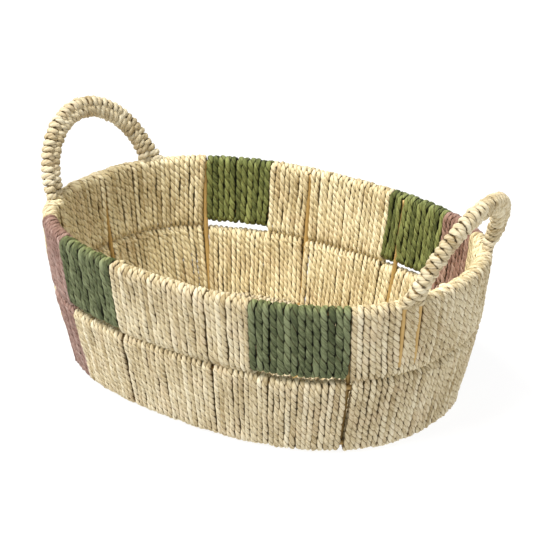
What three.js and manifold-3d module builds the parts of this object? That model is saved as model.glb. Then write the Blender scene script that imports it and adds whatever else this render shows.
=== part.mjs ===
// Oval bread basket: a welded wire frame wrapped with twisted paper rope, with two wrapped wire handles.
// Millimetres, +Z up, +X along the basket. It stands on z = 0.
import * as THREE from "three";
import { mergeVertices } from "three/addons/utils/BufferGeometryUtils.js";
import Module from "manifold-3d";

// Wire and rope
const wireRadius = 1.75;
const wrapRadius = 6; // from a hoop's centre to the outside of the rope round it
const weldGap = 0.35; // between two wires that are welded side by side
const lap = 2 * wireRadius + weldGap; // from centre to centre of such wires
const tunnelRadius = 2.6; // room for a wire inside a wrap

// Hoops: each outline is a rounded oval, and squareness 2 would be a true ellipse
const seamHeight = 63.8;
const middleSpacing = 19;
const hoops = {
  bottom: { halfLength: 149.4, halfWidth: 102.5, squareness: 2.41, height: wrapRadius },
  lowerMiddle: { halfLength: 160.1, halfWidth: 110.7, squareness: 2.5, height: seamHeight - middleSpacing / 2 },
  upperMiddle: { halfLength: 163.5, halfWidth: 113.7, squareness: 2.48, height: seamHeight + middleSpacing / 2 },
  rim: { halfLength: 169, halfWidth: 119.7, squareness: 2.37, height: 112.4 },
};
const stationsRound = 48; // every piece that follows the wall turns at the same stations
const stationStep = (2 * Math.PI) / stationsRound;
const wireSides = 6;
const smallTurn = 0.01; // radians, for finding a curve's direction

// Ribs, as degrees round the oval from +X, and the gap each leaves in the rope
const ribDegrees = [29, 73.1, 103.7, 135.3, 176.5, 207.7, 257, 285.5, 321, 355];
const crossRibs = [
  [257, 103.7],
  [285.5, 73.1],
];
const endRibs = [176.5, 355];
const ribGap = 4.5;
const colourGap = 0.9;
const seamHalf = 4; // half the wall's thickness where the strands cross at the seam

// Colour panels: a pink one is wrapped over the whole wall, a green one over the upper band only
const panels = [
  { from: 29, to: 42.2, colour: "natural" },
  { from: 42.2, to: 57.7, colour: "pink" },
  { from: 57.7, to: 73.1, colour: "green" },
  { from: 73.1, to: 77.7, colour: "green" },
  { from: 77.7, to: 103.7, colour: "natural" },
  { from: 103.7, to: 115.7, colour: "natural" },
  { from: 115.7, to: 135.3, colour: "green" },
  { from: 135.3, to: 176.5, colour: "natural" },
  { from: 176.5, to: 207.7, colour: "natural" },
  { from: 207.7, to: 221, colour: "natural" },
  { from: 221, to: 236.5, colour: "pink" },
  { from: 236.5, to: 257, colour: "green" },
  { from: 257, to: 285.5, colour: "natural" },
  { from: 285.5, to: 296.6, colour: "natural" },
  { from: 296.6, to: 321, colour: "green" },
  { from: 321, to: 355, colour: "natural" },
  { from: 355, to: 389, colour: "natural" },
];

// Handles: feet as degrees round the rim, the arch's height along its own plane and its lean outward
const handles = [
  { side: "left", from: 152.8, to: 204.7, rise: 62, lean: 24, fullness: 2, footOut: -1.2 },
  { side: "right", from: 338.2, to: 391.9, rise: 61.5, lean: 23.15, fullness: 2.2, footOut: 1.1 },
];
const handleSteps = 22;
const wrapStart = 9; // degrees round the arch where its wrap begins, just above the rim
const coreSpread = 2.9; // from the arch's middle line to each of its two wires
const footSpread = 7;
const spreadStart = 11; // degrees round the arch where the wires start to come together
const spreadEnd = 34; // and where they have
const gripHalfWidth = 7.7;
const gripHalfDepth = 5.6;
const gripCorner = 4.2; // radius of the wrap's flanks
const gripFlat = 5.46; // half the width of the flat part of the wrap's section, and a corner
const legDrop = 44; // how far the legs reach down the wall below the rim
const legOut = lap + 0.5;
const slotWidth = 5.6; // of the slot that the rope leaves for a leg

// Base
const baseInset = 12.8; // from the bottom hoop in to the base hoop
const baseThickness = 2 * wrapRadius;
const baseBevel = 3;

const wasm = await Module();
wasm.setup();

const radians = THREE.MathUtils.degToRad;
const paint = (color, roughness, metalness = 0) => new THREE.MeshStandardMaterial({ color, roughness, metalness });
const finishes = {
  wire: paint(0xb69653, 0.45, 0.6),
  natural: paint(0xd0c09f, 0.85),
  green: paint(0x5c6040, 0.85),
  pink: paint(0xaf998e, 0.85),
};
const basket = new THREE.Group();
basket.name = "bread_basket";

function addPiece(name, geometry, finish) {
  const mesh = new THREE.Mesh(geometry, finishes[finish]);
  mesh.name = name;
  basket.add(mesh);
}

// Hoop sizes at any height between the hoops
function outlineAt(height) {
  const levels = Object.values(hoops);
  const low = THREE.MathUtils.clamp(levels.findLastIndex((hoop) => hoop.height <= height), 0, levels.length - 2);
  const [below, above] = [levels[low], levels[low + 1]];
  const share = THREE.MathUtils.clamp((height - below.height) / (above.height - below.height), 0, 1);
  return {
    halfLength: THREE.MathUtils.lerp(below.halfLength, above.halfLength, share),
    halfWidth: THREE.MathUtils.lerp(below.halfWidth, above.halfWidth, share),
    squareness: THREE.MathUtils.lerp(below.squareness, above.squareness, share),
  };
}

// A point of an outline, moved out along the outline's normal
function onOutline({ halfLength, halfWidth, squareness }, angle, out) {
  const along = Math.cos(angle);
  const across = Math.sin(angle);
  const reach = (Math.abs(along) ** squareness + Math.abs(across) ** squareness) ** (-1 / squareness);
  const normal = new THREE.Vector2(
    (Math.sign(along) * Math.abs(reach * along) ** (squareness - 1)) / halfLength,
    (Math.sign(across) * Math.abs(reach * across) ** (squareness - 1)) / halfWidth,
  ).normalize();
  return new THREE.Vector2(halfLength * reach * along, halfWidth * reach * across).addScaledVector(normal, out);
}

// A point of the wall, which is flat between two stations
function onWall(angle, height, out) {
  const rounding = 1e-9;
  const station = Math.floor(angle / stationStep + rounding);
  const outline = outlineAt(height);
  const from = onOutline(outline, station * stationStep, out);
  const to = onOutline(outline, (station + 1) * stationStep, out);
  const flat = from.lerp(to, angle / stationStep - station);
  return new THREE.Vector3(flat.x, flat.y, height);
}

// The turn round the rim that moves a point by a length
function turnFor(length, angle) {
  const [from, to] = [-smallTurn, smallTurn].map((turn) => onWall(angle + turn, hoops.rim.height, 0));
  return (2 * smallTurn * length) / from.distanceTo(to);
}

// Moves every vertex of a geometry to where place says
function bend(geometry, place) {
  const places = geometry.attributes.position;
  for (let i = 0; i < places.count; i++) {
    const { x, y, z } = place(places.getX(i), places.getY(i), places.getZ(i));
    places.setXYZ(i, x, y, z);
  }
  geometry.computeVertexNormals();
  return geometry;
}

function arcPoints(centreX, centreY, radius, fromDegrees, toDegrees, count) {
  return Array.from({ length: count }, (_, i) => {
    const angle = radians(THREE.MathUtils.lerp(fromDegrees, toDegrees, i / (count - 1)));
    return new THREE.Vector2(centreX + radius * Math.cos(angle), centreY + radius * Math.sin(angle));
  });
}

// A ring of wire that follows the wall's outline at one height
function makeHoop({ height }, out, radius) {
  const ringRadius = 100;
  const ring = new THREE.TorusGeometry(ringRadius, radius, wireSides, stationsRound);
  return bend(ring, (x, y, z) => {
    const angle = Math.atan2(y, x);
    return onWall(angle, height, out + Math.hypot(x, y) - ringRadius).setZ(height + z);
  });
}

// A rib runs up the inside of the hoops
function makeRib(angle) {
  const height = hoops.rim.height - hoops.bottom.height;
  const rod = new THREE.CylinderGeometry(wireRadius, wireRadius, height, wireSides, 4);
  const middle = (hoops.rim.height + hoops.bottom.height) / 2;
  return bend(rod, (x, y, z) => onWall(angle - turnFor(z, angle), middle + y, x - lap));
}

// Sections of the wrapped wall, with x out from the wall's line and y as the height.
// A hole is the space between the two layers of rope, where the hoops run.
function cavity(low, high) {
  const room = wireRadius + 0.8;
  const point = 1.3 * room;
  return new THREE.Path([
    new THREE.Vector2(0, low.height - point),
    new THREE.Vector2(-room, low.height),
    new THREE.Vector2(-room, high.height),
    new THREE.Vector2(0, high.height + point),
    new THREE.Vector2(room, high.height),
    new THREE.Vector2(room, low.height),
  ]);
}

function loopSection(low, high) {
  const section = new THREE.Shape([
    ...arcPoints(0, high.height, wrapRadius, 0, 180, 5),
    ...arcPoints(0, low.height, wrapRadius, 180, 360, 5),
  ]);
  section.holes.push(cavity(low, high));
  return section;
}

function crossedSection() {
  const { bottom, lowerMiddle, upperMiddle, rim } = hoops;
  const section = new THREE.Shape([
    ...arcPoints(0, rim.height, wrapRadius, 0, 180, 5),
    new THREE.Vector2(-wrapRadius, upperMiddle.height),
    new THREE.Vector2(-seamHalf, seamHeight),
    new THREE.Vector2(-wrapRadius, lowerMiddle.height),
    ...arcPoints(0, bottom.height, wrapRadius, 180, 360, 5),
    new THREE.Vector2(wrapRadius, lowerMiddle.height),
    new THREE.Vector2(seamHalf, seamHeight),
    new THREE.Vector2(wrapRadius, upperMiddle.height),
  ]);
  section.holes.push(cavity(upperMiddle, rim), cavity(bottom, lowerMiddle));
  return section;
}

// Sweeps a section round the wall from one angle to another
function sweepWall(section, from, to) {
  const first = Math.ceil(from / stationStep);
  const last = Math.floor(to / stationStep);
  const between = Array.from({ length: last - first + 1 }, (_, i) => (first + i) * stationStep);
  const margin = stationStep / 50;
  const angles = [from, ...between.filter((angle) => angle > from + margin && angle < to - margin), to].reverse();
  const steps = angles.length - 1;
  const straight = new THREE.ExtrudeGeometry(section, { steps, depth: steps, bevelEnabled: false });
  return bend(straight, (x, y, z) => onWall(angles[Math.round(z)], y, x));
}

function toSolid(geometry) {
  const bare = geometry.clone();
  bare.deleteAttribute("normal");
  bare.deleteAttribute("uv");
  const merged = mergeVertices(bare, 1e-3);
  const triVerts = new Uint32Array(merged.index.array);
  const vertProperties = new Float32Array(merged.attributes.position.array);
  return new wasm.Manifold(new wasm.Mesh({ numProp: 3, vertProperties, triVerts }));
}

function toGeometry(solid) {
  const { vertProperties, triVerts } = solid.getMesh();
  const geometry = new THREE.BufferGeometry();
  geometry.setAttribute("position", new THREE.BufferAttribute(vertProperties, 3));
  geometry.setIndex(new THREE.BufferAttribute(triVerts, 1));
  geometry.computeVertexNormals();
  return geometry;
}

const cutFrom = (geometry, cutters) =>
  toGeometry(cutters.reduce((solid, cutter) => solid.subtract(toSolid(cutter)), toSolid(geometry)));

// The four legs of a handle, as angles round the wall
function legAngles({ from, to }) {
  return [from, to].flatMap((degrees) => {
    const foot = radians(degrees);
    const turn = turnFor(footSpread, foot);
    return [foot - turn, foot + turn];
  });
}

// One panel of the wall's rope, as one solid or, under a green one, two
function makePanel({ from, to, colour }, index) {
  const isRib = (degrees) => ribDegrees.some((rib) => (degrees - rib) % 360 === 0);
  const inset = (degrees) => turnFor((isRib(degrees) ? ribGap : colourGap) / 2, radians(degrees));
  const start = radians(from) + inset(from);
  const end = radians(to) - inset(to);
  const name = `${colour}_weave_${index + 1}`;
  const { bottom, lowerMiddle, upperMiddle, rim } = hoops;
  if (colour === "green") {
    addPiece(name, sweepWall(loopSection(upperMiddle, rim), start, end), colour);
    addPiece(`lower_weave_${index + 1}`, sweepWall(loopSection(bottom, lowerMiddle), start, end), "natural");
    return;
  }
  const panel = sweepWall(crossedSection(), start, end);
  const reach = turnFor(ribGap, start);
  const isNearby = (angle) => angle > start - reach && angle < end + reach;
  const crosses = (handle) => legAngles(handle).some((angle) => isNearby(angle) || isNearby(angle - 2 * Math.PI));
  const slots = handles.filter(crosses).flatMap((handle) => [1, -1].map((s) => makeCoreWire(handle, s, slotWidth / 2)));
  addPiece(name, slots.length ? cutFrom(panel, slots) : panel, colour);
}

// The middle line of a handle's arch at an angle round it, with its direction
function archPlace({ from, to, rise, lean, fullness, footOut }, angle) {
  const [start, end] = [from, to].map((degrees) => {
    const foot = onOutline(hoops.rim, radians(degrees), footOut);
    return new THREE.Vector3(foot.x, foot.y, hoops.rim.height);
  });
  const middle = start.clone().lerp(end, 0.5);
  const half = end.clone().sub(start).multiplyScalar(0.5);
  const outward = new THREE.Vector3(half.y, -half.x, 0).normalize();
  const up = outward.multiplyScalar(Math.sin(radians(lean))).setZ(Math.cos(radians(lean)));
  const point = (turn) => {
    const cos = Math.cos(turn);
    const sin = Math.sin(turn);
    const reach = (Math.abs(cos) ** fullness + Math.abs(sin) ** fullness) ** (-1 / fullness);
    return middle.clone().addScaledVector(half, -reach * cos).addScaledVector(up, reach * rise * sin);
  };
  const ahead = point(angle + smallTurn).sub(point(angle - smallTurn)).normalize();
  const across = half.clone().cross(up).normalize().cross(ahead);
  const foot = radians(angle < Math.PI / 2 ? from : to);
  const [before, after] = [-smallTurn, smallTurn].map((turn) => onWall(foot + turn, hoops.rim.height, 0));
  const alongWall = after.sub(before).normalize();
  alongWall.multiplyScalar(Math.sign(alongWall.dot(across)));
  across.lerp(alongWall, footShare(angle));
  across.addScaledVector(ahead, -across.dot(ahead)).normalize();
  return { centre: point(angle), across, through: ahead.cross(across) };
}

// 1 at a foot of the arch, where its two wires lie side by side along the wall, and 0 where they are together
function footShare(angle) {
  const fromFoot = THREE.MathUtils.radToDeg(Math.min(angle, Math.PI - angle));
  return 1 - THREE.MathUtils.smoothstep(fromFoot, spreadStart, spreadEnd);
}

// How far each core wire is from the arch's middle line
function spreadAt(angle) {
  return THREE.MathUtils.lerp(coreSpread, footSpread, footShare(angle));
}

// The stations of one core wire: up one leg, round the arch and down the other.
// Side 1 is the outer wire and side -1 the inner one.
function coreStations(handle, side) {
  const arch = archAngles().map((angle) => {
    const { centre, across, through } = archPlace(handle, angle);
    return { centre: centre.addScaledVector(across, side * spreadAt(angle)), across, through };
  });
  const angles = legAngles(handle);
  const [first, last] = side > 0 ? [angles[0], angles[3]] : [angles[1], angles[2]];
  const leg = (angle, { across, through }) =>
    [hoops.rim.height - legDrop, hoops.rim.height].map((height) => ({
      centre: onWall(angle, height, legOut),
      across: across.clone().setZ(0).normalize(),
      through: through.clone().setZ(0).normalize(),
    }));
  return [...leg(first, arch[0]), ...arch, ...leg(last, arch.at(-1)).reverse()];
}

// A core wire, or with a larger radius the slot it needs in the wall's rope
function makeCoreWire(handle, side, radius) {
  const stations = coreStations(handle, side);
  const section = new THREE.Shape(arcPoints(0, 0, radius, 0, 300, wireSides));
  const steps = stations.length - 1;
  const straight = new THREE.ExtrudeGeometry(section, { steps, depth: steps, bevelEnabled: false });
  return bend(straight, (x, y, z) => {
    const { centre, across, through } = stations[Math.round(z)];
    return centre.clone().addScaledVector(across, x).addScaledVector(through, y);
  });
}

function archAngles() {
  const start = radians(wrapStart);
  return Array.from({ length: handleSteps + 1 }, (_, i) => {
    return THREE.MathUtils.lerp(start, Math.PI - start, i / handleSteps);
  });
}

// The rope round both core wires, with a tunnel for each
function makeGrip(handle) {
  const angles = archAngles();
  const flat = gripFlat - gripCorner;
  const section = new THREE.Shape([
    ...arcPoints(gripHalfWidth - gripCorner, 0, gripCorner, -30, 30, 2),
    new THREE.Vector2(flat, gripHalfDepth),
    new THREE.Vector2(-flat, gripHalfDepth),
    ...arcPoints(gripCorner - gripHalfWidth, 0, gripCorner, 150, 210, 2),
    new THREE.Vector2(-flat, -gripHalfDepth),
    new THREE.Vector2(flat, -gripHalfDepth),
  ]);
  for (const side of [1, -1]) {
    section.holes.push(new THREE.Path(arcPoints(side * coreSpread, 0, tunnelRadius, 360, 60, wireSides)));
  }
  const straight = new THREE.ExtrudeGeometry(section, {
    steps: handleSteps,
    depth: handleSteps,
    bevelEnabled: false,
  });
  return bend(straight, (x, y, z) => {
    const angle = angles[Math.round(z)];
    const { centre, across, through } = archPlace(handle, angle);
    const widening = Math.sign(x) * (spreadAt(angle) - coreSpread);
    return centre.addScaledVector(across, x + widening).addScaledVector(through, y);
  });
}

// A straight rod between two points
function makeRod([from, to], radius) {
  const path = new THREE.LineCurve3(from, to);
  const section = new THREE.Shape(arcPoints(0, 0, radius, 0, 300, wireSides));
  return new THREE.ExtrudeGeometry(section, { steps: 1, extrudePath: path, bevelEnabled: false });
}

// The point at the foot of a rib, moved in along the base
function ribFoot(degrees, inward, height) {
  return onWall(radians(degrees), hoops.bottom.height, -inward).setZ(height);
}

// A line made longer at both ends
function lengthen([from, to], share) {
  return [from.clone().lerp(to, -share), to.clone().lerp(from, -share)];
}

// Cross wires join the feet of opposite ribs, over the base hoop. The long wire lies inside the base hoop.
function makeBase() {
  const { height, halfLength } = hoops.bottom;
  const endGap = lap + wireRadius + weldGap;
  const crossLines = crossRibs.map((ends) => ends.map((degrees) => ribFoot(degrees, endGap, height + lap)));
  const longLine = endRibs.map((degrees) => ribFoot(degrees, baseInset + lap, height));
  addPiece("base_hoop", makeHoop(hoops.bottom, -baseInset, wireRadius), "wire");
  addPiece("left_cross_wire", makeRod(crossLines[0], wireRadius), "wire");
  addPiece("right_cross_wire", makeRod(crossLines[1], wireRadius), "wire");
  addPiece("long_base_wire", makeRod(longLine, wireRadius), "wire");

  const endRoom = 0.01;
  const longer = 0.1;
  const slab = toSolid(makeBaseSlab())
    .subtract(toSolid(makeHoop(hoops.bottom, -baseInset, tunnelRadius)))
    .subtract(toSolid(makeRod(lengthen(longLine, endRoom), tunnelRadius)));
  const splits = crossLines.map((line) => lengthen(line, longer));
  const edge = (x) => splits[0].map((point) => point.clone().setX(x));
  const edges = [edge(-halfLength), ...splits, edge(halfLength)];
  ["left", "middle", "right"].forEach((name, i) => {
    const [front, back] = edges[i].map((point) => new THREE.Vector2(point.x + ribGap / 2, point.y));
    const [nextFront, nextBack] = edges[i + 1].map((point) => new THREE.Vector2(point.x - ribGap / 2, point.y));
    const area = new THREE.Shape([front, nextFront, nextBack, back]);
    const block = new THREE.ExtrudeGeometry(area, { depth: 2 * baseThickness, bevelEnabled: false });
    const bay = slab.intersect(toSolid(block.translate(0, 0, -baseThickness / 2)));
    addPiece(`${name}_base_weave`, toGeometry(bay), "natural");
  });
}

// The base's rope as one slab
function makeBaseSlab() {
  const outline = Array.from({ length: stationsRound }, (_, i) => {
    return onOutline(hoops.bottom, i * stationStep, wrapRadius - baseInset);
  });
  const slab = new THREE.ExtrudeGeometry(new THREE.Shape(outline), {
    depth: baseThickness - 2 * baseBevel,
    bevelThickness: baseBevel,
    bevelSize: baseBevel,
    bevelOffset: -baseBevel,
    bevelSegments: 1,
  });
  return slab.translate(0, 0, baseBevel);
}

addPiece("rim_hoop", makeHoop(hoops.rim, 0, wireRadius), "wire");
addPiece("upper_middle_hoop", makeHoop(hoops.upperMiddle, 0, wireRadius), "wire");
addPiece("lower_middle_hoop", makeHoop(hoops.lowerMiddle, 0, wireRadius), "wire");
addPiece("bottom_hoop", makeHoop(hoops.bottom, 0, wireRadius), "wire");
ribDegrees.forEach((degrees, i) => addPiece(`rib_${i + 1}`, makeRib(radians(degrees)), "wire"));
panels.forEach(makePanel);
for (const handle of handles) {
  addPiece(`${handle.side}_handle_outer_wire`, makeCoreWire(handle, 1, wireRadius), "wire");
  addPiece(`${handle.side}_handle_inner_wire`, makeCoreWire(handle, -1, wireRadius), "wire");
  addPiece(`${handle.side}_handle_wrap`, makeGrip(handle), "natural");
}
makeBase();

export default basket;
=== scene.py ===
import math

import bpy
import numpy as np
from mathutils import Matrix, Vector


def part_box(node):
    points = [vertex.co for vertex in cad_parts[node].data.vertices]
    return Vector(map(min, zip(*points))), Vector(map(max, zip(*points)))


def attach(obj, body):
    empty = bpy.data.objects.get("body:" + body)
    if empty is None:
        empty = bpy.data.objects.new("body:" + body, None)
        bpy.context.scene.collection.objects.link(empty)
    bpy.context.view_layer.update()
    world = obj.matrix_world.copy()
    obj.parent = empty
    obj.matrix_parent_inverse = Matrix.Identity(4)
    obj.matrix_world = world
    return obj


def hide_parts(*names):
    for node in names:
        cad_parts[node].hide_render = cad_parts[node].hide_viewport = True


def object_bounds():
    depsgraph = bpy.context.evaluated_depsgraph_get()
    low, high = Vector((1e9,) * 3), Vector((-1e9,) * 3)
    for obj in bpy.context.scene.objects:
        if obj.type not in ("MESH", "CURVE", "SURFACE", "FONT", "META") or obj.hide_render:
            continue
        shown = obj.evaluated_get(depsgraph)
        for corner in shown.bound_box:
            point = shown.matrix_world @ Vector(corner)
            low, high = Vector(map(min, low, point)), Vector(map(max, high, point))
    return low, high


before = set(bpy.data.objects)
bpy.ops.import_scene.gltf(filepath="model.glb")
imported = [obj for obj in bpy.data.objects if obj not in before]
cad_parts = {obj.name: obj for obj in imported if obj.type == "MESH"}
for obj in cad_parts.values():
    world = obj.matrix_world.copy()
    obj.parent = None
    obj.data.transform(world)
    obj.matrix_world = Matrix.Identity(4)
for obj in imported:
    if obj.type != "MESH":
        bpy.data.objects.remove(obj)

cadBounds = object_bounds()
scene = bpy.context.scene
scene.view_settings.view_transform = "Standard"
mm = 0.001
smallTurn = 1e-4  # radians, for finding a curve's direction


view = {
    "turn": 38.04, "rise": 23.69, "distance": 1.4397,  # degrees from the front, degrees up, metres
    "target": 0.066, "lens": 126.5, "shiftX": 0.0243, "shiftY": 0.0248,
}
light = {
    "sky": 0.50,
    "key": {"from": (-0.42, -0.80, 1.75), "spread": 32, "power": 4.5, "colour": (1, 0.985, 0.96)},
    "fill": {"from": (1.5, -0.9, 1.2), "spread": 60, "power": 0.35, "colour": (0.97, 0.985, 1)},
}
floorPaint = {"colour": (0.13, 0.13, 0.13, 1), "glow": 0.90, "roughness": 0.9, "side": 8, "below": 0.5 * mm}


def addCamera():
    turn, rise = math.radians(view["turn"]), math.radians(view["rise"])
    back = Vector((math.sin(turn) * math.cos(rise), -math.cos(turn) * math.cos(rise), math.sin(rise)))
    camera = bpy.data.objects.new("camera", bpy.data.cameras.new("camera"))
    scene.collection.objects.link(camera)
    camera.location = back * view["distance"] + Vector((0, 0, view["target"]))
    camera.rotation_euler = (-back).to_track_quat("-Z", "Y").to_euler()
    camera.data.lens = view["lens"]
    camera.data.shift_x = view["shiftX"]
    camera.data.shift_y = view["shiftY"]
    camera.data.clip_start = 0.05
    scene.camera = camera


def addLamp(name):
    lamp = bpy.data.objects.new(name + "Lamp", bpy.data.lights.new(name, "SUN"))
    lamp.data.angle = math.radians(light[name]["spread"])
    lamp.data.energy = light[name]["power"]
    lamp.data.color = light[name]["colour"]
    lamp.location = light[name]["from"]
    lamp.rotation_euler = (-lamp.location).to_track_quat("-Z", "Y").to_euler()
    scene.collection.objects.link(lamp)


def addFloor():
    side = floorPaint["side"]
    corners = [(-side, -side, 0), (side, -side, 0), (side, side, 0), (-side, side, 0)]
    mesh = bpy.data.meshes.new("floor")
    mesh.from_pydata(corners, [], [(0, 1, 2, 3)])
    floor = bpy.data.objects.new("floor", mesh)
    floor.location.z = cadBounds[0].z - floorPaint["below"]
    scene.collection.objects.link(floor)
    paint = bpy.data.materials.new("floorPaint")
    paint.use_nodes = True
    shader = paint.node_tree.nodes["Principled BSDF"]
    shader.inputs["Base Color"].default_value = floorPaint["colour"]
    shader.inputs["Roughness"].default_value = floorPaint["roughness"]
    shader.inputs["Emission Color"].default_value = (1, 1, 1, 1)
    shader.inputs["Emission Strength"].default_value = floorPaint["glow"]
    mesh.materials.append(paint)


def addStudio():
    scene.world = bpy.data.worlds.new("studio")
    scene.world.use_nodes = True
    sky = scene.world.node_tree.nodes["Background"]
    sky.inputs["Color"].default_value = (1, 1, 1, 1)
    sky.inputs["Strength"].default_value = light["sky"]
    addLamp("key")
    addLamp("fill")
    addFloor()


addCamera()
addStudio()
print("camera, lamps and floor are in place")


class Signal:  # a shader socket that can be used in sums
    def __init__(self, recipe, socket):
        self.recipe = recipe
        self.socket = socket

    def maths(self, operation, first, second):
        return self.recipe.add("ShaderNodeMath", {"operation": operation}, {0: first, 1: second})["Value"]

    def __add__(self, other):
        return self.maths("ADD", self, other)

    def __radd__(self, other):
        return self.maths("ADD", other, self)

    def __sub__(self, other):
        return self.maths("SUBTRACT", self, other)

    def __rsub__(self, other):
        return self.maths("SUBTRACT", other, self)

    def __mul__(self, other):
        return self.maths("MULTIPLY", self, other)

    def __rmul__(self, other):
        return self.maths("MULTIPLY", other, self)


class Recipe:  # a material that is being made
    def __init__(self, name):
        self.material = bpy.data.materials.new(name)
        self.material.use_nodes = True
        self.tree = self.material.node_tree
        self.shader = self.tree.nodes["Principled BSDF"]

    def add(self, kind, settings, sockets):
        node = self.tree.nodes.new(kind)
        for key, value in settings.items():
            if key == "stops":
                self.setStops(node.color_ramp, value)
            else:
                setattr(node, key, value)
        self.feed(node, sockets)
        return {socket.name: Signal(self, socket) for socket in node.outputs if socket.enabled}

    def feed(self, node, sockets):
        for key, value in sockets.items():
            socket = node.inputs[key]
            if isinstance(value, Signal):
                self.tree.links.new(value.socket, socket)
            else:
                socket.default_value = value

    def setStops(self, ramp, stops):
        while len(ramp.elements) < len(stops):
            ramp.elements.new(0.5)
        for element, (place, colour) in zip(ramp.elements, stops):
            element.position = place
            element.color = colour

    def attribute(self, name, output="Fac"):
        return self.add("ShaderNodeAttribute", {"attribute_name": name}, {})[output]

    def mix(self, share, first, second, blend="MIX"):
        settings = {"data_type": "RGBA", "blend_type": blend}
        sockets = {0: share, 6: first, 7: second}
        return self.add("ShaderNodeMix", settings, sockets)["Result"]

    def band(self, value, low, high, most):  # 0 at low and under, most at high and over
        sockets = {0: value, 1: low, 2: high, 3: 0.0, 4: most}
        return self.add("ShaderNodeMapRange", {"interpolation_type": "SMOOTHSTEP"}, sockets)["Result"]

    def noise(self, vector, scale, detail, roughness):
        sockets = {"Vector": vector, "Scale": scale, "Detail": detail, "Roughness": roughness}
        return self.add("ShaderNodeTexNoise", {}, sockets)["Fac"]


# Each noise is its scale, detail and roughness, and each band where it starts, where it is full and how much
ropePaper = {
    "colours": {
        "natural": [
            (0.12, (0.40, 0.30, 0.155, 1)), (0.45, (0.73, 0.62, 0.415, 1)), (0.80, (0.95, 0.87, 0.68, 1)),
        ],
        "green": [
            (0.12, (0.055, 0.07, 0.026, 1)), (0.45, (0.165, 0.19, 0.088, 1)), (0.80, (0.37, 0.41, 0.225, 1)),
        ],
        "pink": [
            (0.12, (0.27, 0.155, 0.12, 1)), (0.45, (0.47, 0.315, 0.255, 1)), (0.80, (0.68, 0.53, 0.46, 1)),
        ],
    },
    # Painted light: a warmer tint inside the basket stands in for the bounce light there, and a darker tint
    # outside is painted shade
    "insideBounceLightTint": {
        "natural": (1, 0.99, 0.86, 1), "green": (0.86, 0.84, 0.50, 1), "pink": (0.66, 0.57, 0.50, 1),
    },
    "outsideShadeTint": {
        "natural": (0.82, 0.81, 0.76, 1), "green": (0.60, 0.61, 0.59, 1), "pink": (0.62, 0.57, 0.57, 1),
    },
    "blushTint": {
        "natural": (0.82, 0.62, 0.44, 1), "green": (0.22, 0.26, 0.13, 1), "pink": (0.58, 0.44, 0.40, 1),
    },
    # Painted shade in the crevices between neighbouring strands
    "creviceShadeTint": {
        "natural": (0.20, 0.14, 0.08, 1), "green": (0.10, 0.10, 0.07, 1), "pink": (0.22, 0.15, 0.11, 1),
    },
    # the first colour here is painted shade for the grooves between the plies
    "grooveShadeTint": (0.27, 0.19, 0.10, 1), "fleckTint": (0.50, 0.40, 0.27, 1),
    "fibre": (1.5, 4, 0.62), "crumple": (0.63, 2, 0.5), "fleck": (2.85, 2, 0.6),  # along the plies
    "patch": (38, 2, 0.5), "blush": (61, 1, 0.5),  # across the whole basket
    "levels": {"tone": 0.55, "fibre": 1.3, "crumple": 0.7, "patch": 0.2, "darker": 0.88},
    "blushBand": (0.5, 0.72, 0.18), "fleckBand": (0.60, 0.72, 0.6), "grooveBand": (0.95, 1.45, 0.9),
    # where the painted shade in crevices and ply grooves starts, where it is full and how strong it is
    "creviceBand": {"natural": (0.70, 1.15, 0.95), "green": (0.50, 1.0, 0.95), "pink": (0.5, 1.0, 0.95)},
    "grooveCrumple": 0.9, "creviceGroove": 0.35, "creviceFibre": 0.35,
    "bump": 0.55, "bumpDepth": 0.7 * mm, "roughness": 0.84, "fibreRoughness": 0.12, "specular": 0.3,
}


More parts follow.
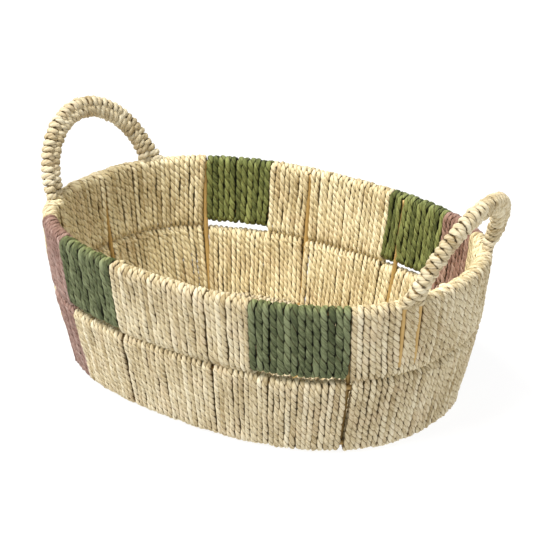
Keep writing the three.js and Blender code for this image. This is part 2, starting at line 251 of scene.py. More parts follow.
def makeRopePaper(colour):
    recipe = Recipe(colour + "RopePaper")
    lay = recipe.attribute("lay", "Vector")  # round and along one ply
    tone = recipe.attribute("tone")
    hollow = recipe.attribute("hollow")  # painted shade, 1 in the groove between the plies
    crevice = recipe.attribute("crevice")  # painted shade, 1 where a strand meets the next one
    exposed = recipe.attribute("exposed")  # painted light: 0 inside the basket, which is given a warmer tint for bounce light, and 1 outside, which is given a darker tint for shade
    fibre = recipe.noise(lay, *ropePaper["fibre"])
    crumple = recipe.noise(lay, *ropePaper["crumple"])
    fleck = recipe.noise(lay, *ropePaper["fleck"])
    place = recipe.add("ShaderNodeTexCoord", {}, {})["Object"]
    patch = recipe.noise(place, *ropePaper["patch"])
    levels = ropePaper["levels"]
    level = tone * levels["tone"] + fibre * levels["fibre"] + crumple * levels["crumple"]
    level = level + patch * levels["patch"] - levels["darker"]
    base = recipe.add("ShaderNodeValToRGB", {"stops": ropePaper["colours"][colour]}, {0: level})["Color"]
    blushShare = recipe.band(recipe.noise(place, *ropePaper["blush"]), *ropePaper["blushBand"])
    base = recipe.mix(blushShare, base, ropePaper["blushTint"][colour])
    # painted light: warmer inside the basket for bounce light, darker outside for shade
    insideOutsideLight = recipe.mix(exposed, ropePaper["insideBounceLightTint"][colour], ropePaper["outsideShadeTint"][colour])
    shade = recipe.mix(1.0, base, insideOutsideLight, "MULTIPLY")
    # painted shade: darker in the crevices between strands and in the grooves between the plies
    darkest = crevice + hollow * ropePaper["creviceGroove"] + fibre * ropePaper["creviceFibre"]
    fleckShare = recipe.band(fleck, *ropePaper["fleckBand"])
    creviceShadeShare = recipe.band(darkest, *ropePaper["creviceBand"][colour])
    grooveShadeShare = recipe.band(hollow + crumple * ropePaper["grooveCrumple"], *ropePaper["grooveBand"])
    shade = recipe.mix(fleckShare, shade, ropePaper["fleckTint"], "MULTIPLY")
    shade = recipe.mix(creviceShadeShare, shade, ropePaper["creviceShadeTint"][colour], "MULTIPLY")
    shade = recipe.mix(grooveShadeShare, shade, ropePaper["grooveShadeTint"], "MULTIPLY")
    height = fibre * 0.5 + crumple * 0.5
    sockets = {"Strength": ropePaper["bump"], "Distance": ropePaper["bumpDepth"], "Height": height}
    recipe.feed(recipe.shader, {
        "Base Color": shade,
        "Normal": recipe.add("ShaderNodeBump", {}, sockets)["Normal"],
        "Roughness": ropePaper["roughness"] + fibre * ropePaper["fibreRoughness"],
    })
    recipe.shader.inputs["Specular IOR Level"].default_value = ropePaper["specular"]
    return recipe.material


wirePaint = {
    "light": (0.60, 0.40, 0.14, 1), "dark": (0.42, 0.26, 0.08, 1),
    "cloud": (90, 3, 0.55), "speck": (900, 2, 0.5),  # scale, detail and roughness
    "roughness": 0.36, "speckRoughness": 0.14, "bump": 0.12, "bumpDepth": 0.2 * mm, "metallic": 0.2,
}


def makeWirePaint():
    recipe = Recipe("wirePaint")
    place = recipe.add("ShaderNodeTexCoord", {}, {})["Object"]
    cloud = recipe.noise(place, *wirePaint["cloud"])
    speck = recipe.noise(place, *wirePaint["speck"])
    sockets = {"Strength": wirePaint["bump"], "Distance": wirePaint["bumpDepth"], "Height": speck}
    recipe.feed(recipe.shader, {
        "Base Color": recipe.mix(cloud, wirePaint["dark"], wirePaint["light"]),
        "Roughness": wirePaint["roughness"] + speck * wirePaint["speckRoughness"],
        "Normal": recipe.add("ShaderNodeBump", {}, sockets)["Normal"],
    })
    recipe.shader.inputs["Metallic"].default_value = wirePaint["metallic"]
    return recipe.material


papers = {colour: makeRopePaper(colour) for colour in ("natural", "green", "pink")}
wireFinish = makeWirePaint()
print("rope paper and wire paint are mixed")


wall = {
    "wireRadius": 1.75 * mm, "seamBelow": 2.6 * mm,  # how far the seam is below halfway up the middle hoops
    "squareness": {"bottom": 2.41, "lowerMiddle": 2.5, "upperMiddle": 2.48, "rim": 2.37},  # 2 is an ellipse
}


def hoopSize(node, squareness):
    low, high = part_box(node)
    radius = wall["wireRadius"]
    return (high.x - low.x) / 2 - radius, (high.y - low.y) / 2 - radius, squareness, (high.z + low.z) / 2


hoops = {
    key: hoopSize(node, wall["squareness"][key]) for key, node in (
        ("bottom", "bottom_hoop"), ("lowerMiddle", "lower_middle_hoop"),
        ("upperMiddle", "upper_middle_hoop"), ("rim", "rim_hoop"),
    )
}
hoopTable = np.array(list(hoops.values()))
bottomHeight, lowerHeight, upperHeight, rimHeight = hoopTable[:, 3]
seamHeight = (lowerHeight + upperHeight) / 2 - wall["seamBelow"]


def wallPoint(angle, height, out):  # out is how far outward it is from the middle of the hoops' wire
    sizes = [np.interp(height, hoopTable[:, 3], hoopTable[:, i]) for i in range(3)]
    halfLength, halfWidth, squareness = sizes
    along, across = np.cos(angle), np.sin(angle)
    reach = (np.abs(along) ** squareness + np.abs(across) ** squareness) ** (-1 / squareness)
    normalX = np.sign(along) * np.abs(reach * along) ** (squareness - 1) / halfLength
    normalY = np.sign(across) * np.abs(reach * across) ** (squareness - 1) / halfWidth
    size = np.hypot(normalX, normalY)
    x = halfLength * reach * along + out * normalX / size
    y = halfWidth * reach * across + out * normalY / size
    return np.stack([x, y, np.broadcast_to(height, x.shape)], axis=-1)


roundAngles = np.radians(np.linspace(-20, 420, 4401))  # a full turn and some more at both ends
roundSteps = np.linalg.norm(np.diff(wallPoint(roundAngles, rimHeight, 0.0), axis=0), axis=1)
roundLengths = np.concatenate([[0], np.cumsum(roundSteps)])


def lengthAt(angle):  # distance round the rim
    return np.interp(angle, roundAngles, roundLengths)


def angleAt(length):
    return np.interp(length, roundLengths, roundAngles)


rope = {
    "thickness": 4.25 * mm, "step": 1.75 * mm,
    "lay": {"natural": 11.5 * mm, "green": 17 * mm, "pink": 13 * mm, "handle": 13 * mm},  # one turn of a ply
    "outline": {0: 1.04, 36: 1.03, 68: 0.92, 90: 0.72, 112: 0.92, 144: 1.03},  # degrees: radius
    "wander": 0.20 * mm, "bulge": 0.20 * mm, "twistWobble": 0.5, "twistDrift": 2.6, "swell": 0.05,
    "crumple": 0.03, "tone": 0.2, "plyTone": 0.05,
    "waves": {  # lengths in metres
        "wander": (0.021, 0.034, 0.057), "bulge": (0.026, 0.043), "twistWobble": (0.045, 0.078),
        "twistDrift": (0.31, 0.52, 0.83), "swell": (0.017, 0.031, 0.063), "tone": (0.083, 0.19, 0.47),
    },
    "pinchedWidth": 0.64, "pinchedThickness": 1.05, "pinchedCrevice": 0.35, "creviceStart": 0.72,
    "grooveSharpness": 12, "layAround": 2.2, "layAlong": 0.22, "layShifts": 97, "lowest": 0.1 * mm,
}
ropeSides = 2 * len(rope["outline"])


def wave(name, length, generator):
    sizes = rope["waves"][name]
    total = sum(np.sin(2 * math.pi * length / size + generator.uniform(0, 2 * math.pi)) for size in sizes)
    return rope[name] * (total / math.sqrt(len(sizes) / 2))


def smoothPath(points, between):  # Catmull-Rom through every row of points
    padded = np.concatenate([[2 * points[0] - points[1]], points, [2 * points[-1] - points[-2]]])
    before, start, end, after = padded[:-3], padded[1:-2], padded[2:-1], padded[3:]
    share = (np.arange(between) / between)[None, :, None]
    before, start, end, after = [part[:, None, :] for part in (before, start, end, after)]
    curve = 0.5 * (
        2 * start + (end - before) * share
        + (2 * before - 5 * start + 4 * end - after) * share**2
        + (3 * start - before - 3 * end + after) * share**3
    )
    return np.concatenate([curve.reshape(-1, points.shape[1]), points[-1:]])


def unit(vectors):
    return vectors / np.linalg.norm(vectors, axis=-1, keepdims=True)


def plyOutline():  # two plies laid together, with a groove on each side where they meet, and how much painted shade lies in that groove
    turn = np.radians([half + degrees for half in (0, 180) for degrees in rope["outline"]])
    reach = np.array([radius for _ in (0, 180) for radius in rope["outline"].values()])
    return turn, reach, np.abs(np.sin(turn)) ** rope["grooveSharpness"]


# Lays two plies round a path. Pinch is 1 where strands are squeezed together, and groove scales the painted
# shade along the ply lines
def twistRope(
    path, sideways, pinch, width, seed, lay, thickness=None, exposed=None, groove=1.0, step=rope["step"]
):
    generator = np.random.default_rng(seed)
    lengths = np.concatenate([[0], np.cumsum(np.linalg.norm(np.diff(path, axis=0), axis=1))])
    along = np.linspace(0, lengths[-1], int(lengths[-1] / step))
    thickness = np.full(len(path), rope["thickness"]) if thickness is None else thickness
    exposed = np.ones(len(path)) if exposed is None else exposed
    rows = [*path.T, *sideways.T, pinch, width, thickness, exposed]
    resampled = [np.interp(along, lengths, row) for row in rows]
    centre, side = np.stack(resampled[:3], axis=-1), np.stack(resampled[3:6], axis=-1)
    pinch, width, thickness, exposed = resampled[6:]
    ahead = unit(np.gradient(centre, axis=0))
    side = unit(side - ahead * np.sum(side * ahead, axis=-1, keepdims=True))
    through = np.cross(ahead, side)
    free = 1 - pinch
    centre = centre + side * (free * wave("wander", along, generator))[:, None]
    centre = centre + through * (free * wave("bulge", along, generator))[:, None]
    twist = -2 * math.pi * along / lay + wave("twistWobble", along, generator)
    twist = twist + wave("twistDrift", along, generator)
    turn, reach, hollow = plyOutline()
    swell = 1 + wave("swell", along, generator)
    crumple = 1 + generator.normal(0, rope["crumple"], (len(along), ropeSides))
    around = turn[None, :] + twist[:, None]
    radius = reach[None, :] * crumple * swell[:, None]
    sideHalf = width / 2 * (1 + (rope["pinchedWidth"] - 1) * pinch)
    throughHalf = thickness / 2 * (1 + (rope["pinchedThickness"] - 1) * pinch)
    vertices = (
        centre[:, None, :]
        + side[:, None, :] * (radius * np.cos(around) * sideHalf[:, None])[..., None]
        + through[:, None, :] * (radius * np.sin(around) * throughHalf[:, None])[..., None]
    )
    vertices[..., 2] = np.maximum(vertices[..., 2], rope["lowest"])  # flat where it stands
    tone = 0.5 + wave("tone", along, generator)
    plyTone = np.where(np.cos(turn) >= 0, rope["plyTone"], -rope["plyTone"])
    # painted shade at the sides where a strand meets the next one, weaker where strands are squeezed together
    flank = np.clip((np.abs(np.cos(around)) - rope["creviceStart"]) / (1 - rope["creviceStart"]), 0, 1)
    creviceDepth = rope["pinchedCrevice"] + (1 - rope["pinchedCrevice"]) * free
    return {
        "vertices": vertices,
        "tone": tone[:, None] + plyTone[None, :],
        "hollow": np.broadcast_to(hollow * groove, radius.shape),
        "crevice": flank * creviceDepth[:, None],
        "exposed": np.broadcast_to(exposed[:, None], radius.shape),
        "lay": np.stack([
            np.broadcast_to(np.cos(turn) * rope["layAround"], radius.shape) + seed % rope["layShifts"],
            np.broadcast_to(np.sin(turn) * rope["layAround"], radius.shape),
            np.broadcast_to(along[:, None] / mm * rope["layAlong"], radius.shape),
        ], axis=-1),
    }


def tubeFaces(rings, sides):  # the walls of a tube, and after them its two ends
    ring = np.arange(rings - 1)[:, None] * sides
    here = np.arange(sides)[None, :]
    beside = (here + 1) % sides
    walls = np.stack([ring + here, ring + beside, ring + sides + beside, ring + sides + here], axis=-1)
    half = sides // 2
    low = np.arange(half - 1)
    cap = np.stack([low + 1, low, (sides - low - 1) % sides, sides - low - 2], axis=-1)
    last = (rings - 1) * sides
    return np.concatenate([walls.reshape(-1, 4), cap, cap[:, ::-1] + last])


def ropeMesh(name, strand, material):
    rings, sides = strand["vertices"].shape[:2]
    faces = tubeFaces(rings, sides)
    mesh = bpy.data.meshes.new(name)
    mesh.vertices.add(rings * sides)
    mesh.vertices.foreach_set("co", strand["vertices"].astype(np.float32).ravel())
    mesh.loops.add(faces.size)
    mesh.loops.foreach_set("vertex_index", faces.astype(np.int32).ravel())
    mesh.polygons.add(len(faces))
    mesh.polygons.foreach_set("loop_start", np.arange(0, faces.size, 4, dtype=np.int32))
    mesh.update(calc_edges=True)
    mesh.polygons.foreach_set("use_smooth", np.ones(len(faces), bool))
    for key in ("tone", "hollow", "crevice", "exposed", "lay"):
        kind, slot = ("FLOAT_VECTOR", "vector") if key == "lay" else ("FLOAT", "value")
        field = mesh.attributes.new(key, kind, "POINT")
        field.data.foreach_set(slot, strand[key].astype(np.float32).ravel())
    mesh.materials.append(material)
    piece = bpy.data.objects.new(name, mesh)
    scene.collection.objects.link(piece)
    return piece


def fit(piece, slot, *nodes):
    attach(piece, "root")
    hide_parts(*nodes)


winding = {
    "pitch": {"natural": 4.4 * mm, "green": 4.9 * mm, "pink": 4.7 * mm}, "fill": 1.07, "ropeOut": 3.85 * mm,
    "belly": 1.03, "loopBelly": 1.02, "squeeze": 0.78,  # shares of ropeOut, the last one beside the seam
    "bend": 2.4 * mm, "dive": 5.2 * mm,  # from the seam, up and down each strand
    "jitter": 0.05, "outJitter": 0.10 * mm, "widthJitter": 0.06, "tuck": 3 * mm, "smoothness": 8,
    "ribRoom": 3.3 * mm, "ribOut": 3.5 * mm, "ribShare": 0.9,
    "legNear": 5 * mm, "legShift": 1 * mm,  # a leg this near a rib shares its gap
    "drop": {3: 5 * mm, 4: 5 * mm, 7: 3.6 * mm, 12: 4.6 * mm, 15: 5 * mm},  # green hangs below its hoop
    "ribs": [29, 73.1, 103.7, 135.3, 176.5, 207.7, 257, 285.5, 321, 355], "tightRibs": [176.5, 207.7],
    "ribUnderGreen": 73.1,
    "wallSeed": 99, "lowerSeed": 50,
}
panels = [  # degrees round the oval from +X
    (29, 42.2, "natural"), (42.2, 57.7, "pink"), (57.7, 73.1, "green"), (73.1, 77.7, "green"),
    (77.7, 103.7, "natural"), (103.7, 115.7, "natural"), (115.7, 135.3, "green"), (135.3, 176.5, "natural"),
    (176.5, 207.7, "natural"), (207.7, 221, "natural"), (221, 236.5, "pink"), (236.5, 257, "green"),
    (257, 285.5, "natural"), (285.5, 296.6, "natural"), (296.6, 321, "green"), (321, 355, "natural"),
    (355, 389, "natural"),
]
# Millimetres between the strands at each height, first inside and then outside the basket
gaps = {
    "height": [6, 12, 30, 50, 63.8, 72, 78, 84, 92, 100, 112.4],
    "rib": (
        [1.4, 1.6, 2.4, 3.6, 4.8, 4.8, 4.2, 3.6, 2.8, 2.1, 1.5],
        [0.8, 0.9, 1.0, 1.1, 1.2, 0.9, 0.7, 0.6, 0.5, 0.4, 0.3],
    ),
    "coveredRib": (
        [2.0, 2.4, 3.4, 4.4, 4.8, 3.4, 1.2, 0.2, 0.0, 0.0, 0.0],
        [0.2] * 11,
    ),
    "tightRib": (
        [1.4, 1.6, 2.4, 3.6, 4.4, 4.0, 2.8, 1.4, 0.5, 0.1, 0.0],
        [0.8, 0.9, 1.0, 1.1, 1.2, 0.9, 0.7, 0.6, 0.5, 0.4, 0.3],
    ),
    "leg": (
        [0.0] * 11,
        [0.0, 0.0, 0.0, 0.0, 0.0, 0.8, 3.0, 4.4, 5.0, 5.0, 4.0],
    ),
    "ribAndLeg": (
        [1.4, 1.6, 2.2, 3.2, 4.4, 4.2, 3.6, 2.8, 2.0, 1.1, 0.3],
        [0.8, 0.9, 1.0, 1.1, 1.2, 1.2, 3.0, 4.4, 5.0, 5.0, 4.0],
    ),
    "colour": (
        [0.1] * 11,
        [0.1] * 11,
    ),
}
handles = {
    "left": {"from": 152.8, "to": 204.7, "rise": 62 * mm, "lean": 24, "fullness": 2.0, "footOut": -1.2 * mm},
    "right": {
        "from": 338.2, "to": 391.9, "rise": 61.5 * mm, "lean": 23.15, "fullness": 2.2, "footOut": 1.1 * mm,
    },
}
grip = {
    "spread": 2.9 * mm, "footSpread": 6.2 * mm,  # from the middle to each of the two wires
    "spreadStart": 1, "spreadEnd": 18, "wrapStart": 2, "wireStart": 9,  # degrees round the arch from a foot
    "footTaper": 0.28,
    # groove sets how strong the painted shade in the ply grooves is on the handles
    "pitch": 5.0 * mm, "around": 3.4 * mm, "width": 5.2 * mm, "thickness": 4.3 * mm, "groove": 0.75,
    "directionTurn": 0.01, "jitter": 0.05, "crossLead": 0.04,
    "legDrop": 44 * mm, "legOut": 3.6 * mm, "seed": 300,
    "lineSteps": 2000, "wrapSmoothness": 5, "archSteps": 40, "legSteps": 6, "wireSmoothness": 3,
}
legs = [
    lengthAt(math.radians(shape[key])) + sign * grip["footSpread"]
    for shape in handles.values() for key in ("from", "to") for sign in (-1, 1)
]
turnLength = lengthAt(2 * math.pi) - lengthAt(0)
legs += [leg - turnLength for leg in legs if leg > turnLength]


def outsideShare(out):  # 0 at the inner face of the rope and 1 at the outer face
    return np.clip(0.5 + 0.5 * out / winding["ropeOut"], 0, 1)


def gapAt(kind, height, out):
    inside, outside = [np.interp(height / mm, gaps["height"], row) for row in gaps[kind]]
    return (inside + (outside - inside) * outsideShare(out)) * mm


def overHoop(height, fromTurn, toTurn, fromShift, toShift):
    out = winding["ropeOut"]
    shares = np.linspace(0, 1, 5)
    turns = np.radians(fromTurn + (toTurn - fromTurn) * shares)
    return [
        (fromShift + (toShift - fromShift) * share, height + out * math.sin(turn), out * math.cos(turn), 0)
        for share, turn in zip(shares, turns)
    ]


# Each turn of rope is a list of: shift along the wall in pitches, height, distance out, pinch
def crossedTurn():
    out = winding["ropeOut"]
    belly, squeezed = out * winding["belly"], out * winding["squeeze"]
    low, high = (bottomHeight + lowerHeight) / 2, (upperHeight + rimHeight) / 2
    dive, bend = winding["dive"], winding["bend"]
    return [
        (0.22, seamHeight, 0, 1),
        (0.25, seamHeight + bend, squeezed, 0.7), (0.25, seamHeight + dive, out, 0.15),
        (0.25, upperHeight, out, 0), (0.25, high, belly, 0), *overHoop(rimHeight, 0, 180, 0.25, 0.42),
        (0.48, high, -out, 0), (0.56, upperHeight, -out, 0), (0.6, seamHeight + dive, -out, 0.15),
        (0.64, seamHeight + bend, -squeezed, 0.7), (0.7, seamHeight, 0, 1),
        (0.75, seamHeight - bend, squeezed, 0.7), (0.75, seamHeight - dive, out, 0.15),
        (0.75, lowerHeight, out, 0), (0.75, low, belly, 0), *overHoop(bottomHeight, 0, -180, 0.75, 0.65),
        (0.72, low, -out, 0), (0.84, lowerHeight, -out, 0), (0.92, seamHeight - dive, -out, 0.15),
        (1.02, seamHeight - bend, -squeezed, 0.7),
    ]


def loopTurn(lowHeight, highHeight):
    out = winding["ropeOut"]
    belly = out * winding["loopBelly"]
    third = (highHeight - lowHeight) / 3
    return [
        *overHoop(lowHeight, 225, 360, 0.05, 0.3), (0.3, lowHeight + third, belly, 0),
        (0.3, highHeight - third, belly, 0), *overHoop(highHeight, 0, 180, 0.3, 0.45),
        (0.5, highHeight - third, -out, 0), (0.65, lowHeight + third, -out, 0),
        *overHoop(lowHeight, 180, 202, 0.8, 0.9)[:2],
    ]


def edgeKind(place, degrees, colour):
    if degrees % 360 not in winding["ribs"]:
        return "colour"
    if colour == "green" and degrees == winding["ribUnderGreen"]:
        return "coveredRib"
    if degrees in winding["tightRibs"]:
        return "tightRib"
    return "ribAndLeg" if any(abs(leg - place) < winding["legNear"] for leg in legs) else "rib"


def bayEdges(fromDegrees, toDegrees, colour):  # the places and kinds of what parts the strands of one panel
    start, end = lengthAt(math.radians(fromDegrees)), lengthAt(math.radians(toDegrees))
    near = winding["legNear"]
    inside = [leg + winding["legShift"] for leg in legs if start + near < leg < end - near]
    return [
        (start, edgeKind(start, fromDegrees, colour)),
        *[(place, "leg") for place in sorted(inside)],
        (end, edgeKind(end, toDegrees, colour)),
    ]


def strandCounts(edges, colour):
    pitch = winding["pitch"][colour]
    return [max(round((right[0] - left[0]) / pitch), 1) for left, right in zip(edges, edges[1:])]


def spreadStrands(edges, colour, shift, height, out):  # from pitches along a panel to a length round the rim
    counts = strandCounts(edges, colour)
    firsts = np.concatenate([[0], np.cumsum(counts)])
    bay = np.clip(np.searchsorted(firsts, shift, side="right") - 1, 0, len(counts) - 1)
    place = np.zeros(len(shift))
    for i, ((start, startKind), (end, endKind)) in enumerate(zip(edges, edges[1:])):
        low = start + gapAt(startKind, height, out) / 2
        high = end - gapAt(endKind, height, out) / 2
        share = (shift - firsts[i]) / counts[i]
        place = np.where(bay == i, low + (high - low) * share, place)
    return place


def overRibs(edges, place, out):  # strands beside a rib lie over it, inside the basket
    ribs = np.array([edge[0] for edge in edges if edge[1] not in ("colour", "leg")])
    if len(ribs) == 0:
        return out
    beside = np.abs(place[:, None] - ribs[None, :]).min(axis=1)
    over = winding["ribOut"] + np.sqrt(np.maximum(winding["ribRoom"]**2 - beside**2, 0))
    isOver = (beside < winding["ribRoom"]) & (out < -winding["ribShare"] * winding["ropeOut"])
    return np.where(isOver, np.minimum(out, -over), out)


def windPanel(turn, edges, seed, colour):
    generator = np.random.default_rng(seed)
    count = sum(strandCounts(edges, colour))
    turns = np.repeat(np.array(turn)[None], count, axis=0)
    turns[..., 0] += np.arange(count)[:, None]
    turns[..., 0] += generator.normal(0, winding["jitter"], (count, 1))
    turns[..., 0] += generator.normal(0, winding["jitter"] / 2, turns.shape[:2])
    turns[..., 2] += generator.normal(0, winding["outJitter"], turns.shape[:2])
    rows = turns.reshape(-1, 4)
    # both ends are tucked in between the inner and the outer strands
    inward = winding["tuck"] * np.sign((rimHeight + bottomHeight) / 2 - rows[[0, -1], 1])
    tucks = np.stack([rows[[0, -1], 0], rows[[0, -1], 1] + inward, [0, 0], [1, 1]], axis=-1)
    rows = smoothPath(np.concatenate([tucks[:1], rows, tucks[1:]]), winding["smoothness"])
    shift, height, out, pinch = rows.T
    place = spreadStrands(edges, colour, shift, height, out)
    out = overRibs(edges, place, out)
    angle = angleAt(place)
    path = wallPoint(angle, height, out)
    stretch = wallPoint(angle + smallTurn, height, out) - wallPoint(angle - smallTurn, height, out)
    rimStretch = wallPoint(angle + smallTurn, rimHeight, 0.0) - wallPoint(angle - smallTurn, rimHeight, 0.0)
    scale = np.linalg.norm(stretch, axis=1) / np.linalg.norm(rimStretch, axis=1)
    widths = generator.normal(0, 1, count + 2)
    thick = 1 + winding["widthJitter"] * np.interp(shift, np.arange(count + 2), widths)
    width = thick * (edges[-1][0] - edges[0][0]) / count * winding["fill"] * scale
    pinch = np.clip(pinch, 0, 1)
    lay = rope["lay"][colour]
    return twistRope(path, unit(stretch), pinch, width, seed, lay, exposed=outsideShare(out))


def makeWall():
    for number, (fromDegrees, toDegrees, colour) in enumerate(panels, 1):
        seed = winding["wallSeed"] + number
        edges = bayEdges(fromDegrees, toDegrees, colour)
        isGreen = colour == "green"
        turn = loopTurn(upperHeight - winding["drop"][number], rimHeight) if isGreen else crossedTurn()
        piece = ropeMesh(f"{colour}Rope{number}", windPanel(turn, edges, seed, colour), papers[colour])
        fit(piece, f"{colour}_rope", f"{colour}_weave_{number}")
        if isGreen:
            lowerTurn = loopTurn(bottomHeight, lowerHeight)
            lower = windPanel(lowerTurn, edges, seed + winding["lowerSeed"], "natural")
            piece = ropeMesh(f"lowerRope{number}", lower, papers["natural"])
            fit(piece, "natural_rope", f"lower_weave_{number}")


makeWall()
print("rope is wound round the wall")


wire = {"sides": 14, "hoopSteps": 240, "baseHoopSteps": 200, "ribSteps": 30, "baseSteps": 20, "upright": 0.6}
base = {
    "inset": 12.8 * mm, "lap": 3.85 * mm, "crossInset": 5.95 * mm,
    "crossRibs": ((257, 103.7), (285.5, 73.1)), "endRibs": (176.5, 355),
    "pitch": 4.9 * mm, "ropeOut": 3.9 * mm, "endShare": 0.94, "gap": 4.5 * mm, "step": 3 * mm,
    "firstShift": 0.3, "jitter": 0.06, "endRoom": 0.012, "smoothness": 10, "seed": 400,
    # one turn: shift in pitches, share of the width from the middle, degrees round a wire
    "turn": [
        (0.0, -1, -180), (0.0, -1, 90), (0.02, 0, 90), (0.05, 1, 90),
        (0.2, 1, 0), (0.4, 1, -90), (0.7, 0, -90), (0.95, -1, -90),
    ],
}


def roundWire(path, radius, closed=False):
    if closed:
        ahead = unit(np.roll(path, -1, axis=0) - np.roll(path, 1, axis=0))
    else:
        ahead = unit(np.gradient(path, axis=0))
    isLevel = np.abs(ahead[:, 2]).max() < wire["upright"]
    guess = np.array([0.0, 0.0, 1.0]) if isLevel else unit(path * [1, 1, 0])
    side = unit(guess - ahead * np.sum(guess * ahead, axis=-1, keepdims=True))
    through = np.cross(ahead, side)
    turn = (np.arange(wire["sides"]) * 2 * math.pi / wire["sides"])[None, :, None]
    return path[:, None, :] + radius * (side[:, None, :] * np.cos(turn) + through[:, None, :] * np.sin(turn))


def wireMesh(name, rings, closed=False):
    count, sides = rings.shape[:2]
    faces = tubeFaces(count, sides)
    if closed:
        here = np.arange(sides)
        beside = (here + 1) % sides
        last = (count - 1) * sides
        bridge = np.stack([last + here, last + beside, beside, here], axis=-1)
        faces = np.concatenate([faces[: (count - 1) * sides], bridge])
    mesh = bpy.data.meshes.new(name)
    mesh.from_pydata(rings.reshape(-1, 3).tolist(), [], faces.tolist())
    mesh.polygons.foreach_set("use_smooth", np.ones(len(faces), bool))
    mesh.materials.append(wireFinish)
    piece = bpy.data.objects.new(name, mesh)
    scene.collection.objects.link(piece)
    return piece


def footPoint(degrees, inward, above=0.0):  # a point by the foot of a rib
    return wallPoint(np.array([math.radians(degrees)]), bottomHeight, -inward)[0] + [0, 0, above]


def crossEnds(degrees):
    return [footPoint(place, base["crossInset"], base["lap"]) for place in degrees]


def makeFrame():
    radius = wall["wireRadius"]
    around = np.linspace(0, 2 * math.pi, wire["hoopSteps"], endpoint=False)
    for name, node, key in (
        ("rimHoop", "rim_hoop", "rim"), ("upperMiddleHoop", "upper_middle_hoop", "upperMiddle"),
        ("lowerMiddleHoop", "lower_middle_hoop", "lowerMiddle"), ("bottomHoop", "bottom_hoop", "bottom"),
    ):
        path = wallPoint(around, hoops[key][3], 0.0)
        fit(wireMesh(name, roundWire(path, radius, True), True), "frame_wire", node)
    steps = wire["ribSteps"]
    heights = np.linspace(bottomHeight - radius, rimHeight + radius, steps)
    for number, degrees in enumerate(winding["ribs"], 1):
        path = wallPoint(np.full(steps, math.radians(degrees)), heights, -2 * radius)
        fit(wireMesh(f"rib{number}", roundWire(path, radius)), "frame_wire", f"rib_{number}")
    longInset = base["inset"] + base["lap"]
    for name, node, ends in (
        ("leftCrossWire", "left_cross_wire", crossEnds(base["crossRibs"][0])),
        ("rightCrossWire", "right_cross_wire", crossEnds(base["crossRibs"][1])),
        ("longBaseWire", "long_base_wire", [footPoint(place, longInset) for place in base["endRibs"]]),
    ):
        path = ends[0] + (ends[1] - ends[0]) * np.linspace(0, 1, wire["baseSteps"])[:, None]
        fit(wireMesh(name, roundWire(path, radius)), "frame_wire", node)


makeFrame()
print("the wire frame is bent")


# The middle line of a handle, with the directions across its two wires, through them and ahead
def archPoints(shape, turn):
    places = [math.radians(shape[key]) for key in ("from", "to")]
    feet = [wallPoint(np.array([place]), rimHeight, shape["footOut"])[0] for place in places]
    middle, half = (feet[0] + feet[1]) / 2, (feet[1] - feet[0]) / 2
    outward = unit(np.array([half[1], -half[0], 0]))
    lean = math.radians(shape["lean"])
    up = outward * math.sin(lean) + np.array([0, 0, math.cos(lean)])
    fullness = shape["fullness"]

    def point(angle):
        cos, sin = np.cos(angle), np.sin(angle)
        reach = (np.abs(cos) ** fullness + np.abs(sin) ** fullness) ** (-1 / fullness)
        return middle + half * (-reach * cos)[:, None] + up * (reach * shape["rise"] * sin)[:, None]

    nudge = grip["directionTurn"]
    ahead = unit(point(turn + nudge) - point(turn - nudge))
    across = np.cross(unit(np.cross(half, up)), ahead)
    wallLines = [
        unit(np.diff(wallPoint(place + np.array([-nudge, nudge]), rimHeight, 0.0), axis=0)[0])
        for place in places
    ]
    wallLine = np.where((turn < math.pi / 2)[:, None], wallLines[0], wallLines[1])
    wallLine = wallLine * np.sign(np.sum(wallLine * across, axis=-1, keepdims=True))
    across = across + (wallLine - across) * footShare(turn)[:, None]
    across = unit(across - ahead * np.sum(across * ahead, axis=-1, keepdims=True))
    return point(turn), across, np.cross(ahead, across), ahead


def footShare(turn):  # 1 at a foot, where the two wires lie along the wall, and 0 where they are together
    fromFoot = np.degrees(np.minimum(turn, math.pi - turn))
    share = np.clip((fromFoot - grip["spreadStart"]) / (grip["spreadEnd"] - grip["spreadStart"]), 0, 1)
    return 1 - share * share * (3 - 2 * share)


def spreadAt(turn):
    return grip["spread"] + (grip["footSpread"] - grip["spread"]) * footShare(turn)


def wrapTurn(start):  # a figure of eight round the two wires: pitches, which wire, across, through, pinch
    stops = np.radians([135, 90, 45, 0, -45, -90, -135])
    radius = grip["around"]
    rows = []
    for half, sign in ((0.0, 1), (0.5, -1)):
        for i, stop in enumerate(stops):
            share = start + half + 0.5 * i / len(stops)
            rows.append((share, sign, sign * radius * math.cos(stop), radius * math.sin(stop), 0))
        rows.append((start + half + 0.5 - grip["crossLead"], 0, 0, 0, 1))
    return rows


def wrapHandle(shape, seed):
    generator = np.random.default_rng(seed)
    start = math.radians(grip["wrapStart"])
    fine = np.linspace(start, math.pi - start, grip["lineSteps"])
    line = archPoints(shape, fine)[0]
    lengths = np.concatenate([[0], np.cumsum(np.linalg.norm(np.diff(line, axis=0), axis=1))])
    count = round(lengths[-1] / grip["pitch"])
    rows = [row for i in range(count) for row in wrapTurn(i + generator.normal(0, grip["jitter"]))]
    place, wireSide, acrossWire, throughWire, pinch = smoothPath(np.array(rows), grip["wrapSmoothness"]).T
    turn = np.interp(np.clip(place / count, 0, 1) * lengths[-1], lengths, fine)
    centre, across, through, ahead = archPoints(shape, turn)
    taper = 1 - grip["footTaper"] * footShare(turn)
    path = centre + across * (wireSide * spreadAt(turn) + acrossWire)[:, None]
    path = path + through * (throughWire * taper)[:, None]
    width = np.full(len(path), grip["width"])
    thickness = grip["thickness"] * taper
    pinch = np.clip(pinch, 0, 1)
    return twistRope(path, ahead, pinch, width, seed, rope["lay"]["handle"], thickness, groove=grip["groove"])


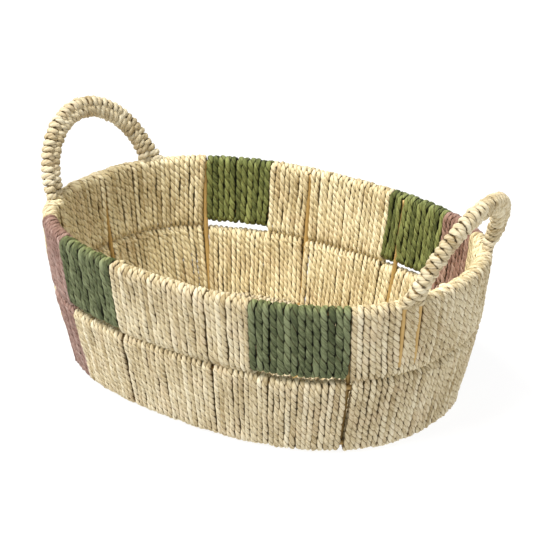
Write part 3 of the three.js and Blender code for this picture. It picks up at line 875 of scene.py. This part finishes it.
def coreWire(shape, side):
    start = math.radians(grip["wireStart"])
    turn = np.linspace(start, math.pi - start, grip["archSteps"])
    centre, across = archPoints(shape, turn)[:2]
    arch = centre + across * (side * spreadAt(turn))[:, None]
    steps = grip["legSteps"]
    heights = np.linspace(rimHeight - grip["legDrop"], rimHeight, steps)
    ends = []
    for key, outer in (("from", -side), ("to", side)):
        angle = angleAt(lengthAt(math.radians(shape[key])) + outer * grip["footSpread"])
        ends.append(wallPoint(np.full(steps, angle), heights, grip["legOut"]))
    return smoothPath(np.concatenate([ends[0], arch, ends[1][::-1]]), grip["wireSmoothness"])


def makeHandles():
    for i, (side, shape) in enumerate(handles.items()):
        for word, sign in (("outer", 1), ("inner", -1)):
            rings = roundWire(coreWire(shape, sign), wall["wireRadius"])
            piece = wireMesh(f"{side}{word.title()}Wire", rings)
            fit(piece, "frame_wire", f"{side}_handle_{word}_wire")
        piece = ropeMesh(f"{side}HandleRope", wrapHandle(shape, grip["seed"] + i), papers["natural"])
        fit(piece, "natural_rope", f"{side}_handle_wrap")


makeHandles()
print("the handles are wrapped")


def baseBay(side):  # x at the front and the back where one run of rope starts and ends
    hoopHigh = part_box("base_hoop")[1]
    end = (hoopHigh.x - wall["wireRadius"]) * base["endShare"]
    gap = base["gap"] / 2
    left, right = [[foot[0] for foot in crossEnds(degrees)] for degrees in base["crossRibs"]]
    return {
        "left": ((-end, -end), (left[0] - gap, left[1] - gap)),
        "middle": ((left[0] + gap, left[1] + gap), (right[0] - gap, right[1] - gap)),
        "right": ((right[0] + gap, right[1] + gap), (end, end)),
    }[side]


def windBase(side, seed):
    hoopLow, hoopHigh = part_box("base_hoop")
    radius = wall["wireRadius"]
    halfLength, halfWidth = hoopHigh.x - radius, hoopHigh.y - radius
    squareness = wall["squareness"]["bottom"]
    (frontStart, backStart), (frontEnd, backEnd) = baseBay(side)
    count = round((frontEnd + backEnd - frontStart - backStart) / 2 / base["pitch"])
    generator = np.random.default_rng(seed)
    rows = []
    for i in range(count):
        start = i + base["firstShift"] + generator.normal(0, base["jitter"])
        for shift, reach, degrees in base["turn"]:
            turn = math.radians(degrees)
            out, above = math.cos(turn) * base["ropeOut"], math.sin(turn) * base["ropeOut"]
            rows.append((start + shift, reach, out, above))
    shift, reach, outward, above = smoothPath(np.array(rows), base["smoothness"]).T
    share = np.clip(shift / count, base["endRoom"], 1 - base["endRoom"])
    front = frontStart + (frontEnd - frontStart) * share
    back = backStart + (backEnd - backStart) * share
    x = front + (back - front) * (reach + 1) / 2
    hoopY = halfWidth * (1 - np.abs(x / halfLength) ** squareness) ** (1 / squareness)
    path = np.stack([x, reach * hoopY + outward, (hoopLow.z + hoopHigh.z) / 2 + above], axis=-1)
    sideways = np.broadcast_to([1.0, 0.0, 0.0], path.shape)
    width = np.full(len(path), base["pitch"] * winding["fill"])
    flat = np.zeros(len(path))
    return twistRope(path, sideways, flat, width, seed, rope["lay"]["natural"], step=base["step"])


def makeBase():
    around = np.linspace(0, 2 * math.pi, wire["baseHoopSteps"], endpoint=False)
    path = wallPoint(around, bottomHeight, -base["inset"])
    fit(wireMesh("baseHoop", roundWire(path, wall["wireRadius"], True), True), "frame_wire", "base_hoop")
    for i, side in enumerate(("left", "middle", "right")):
        piece = ropeMesh(f"{side}BaseRope", windBase(side, base["seed"] + i), papers["natural"])
        fit(piece, "natural_rope", f"{side}_base_weave")


makeBase()
print("the base is wound")
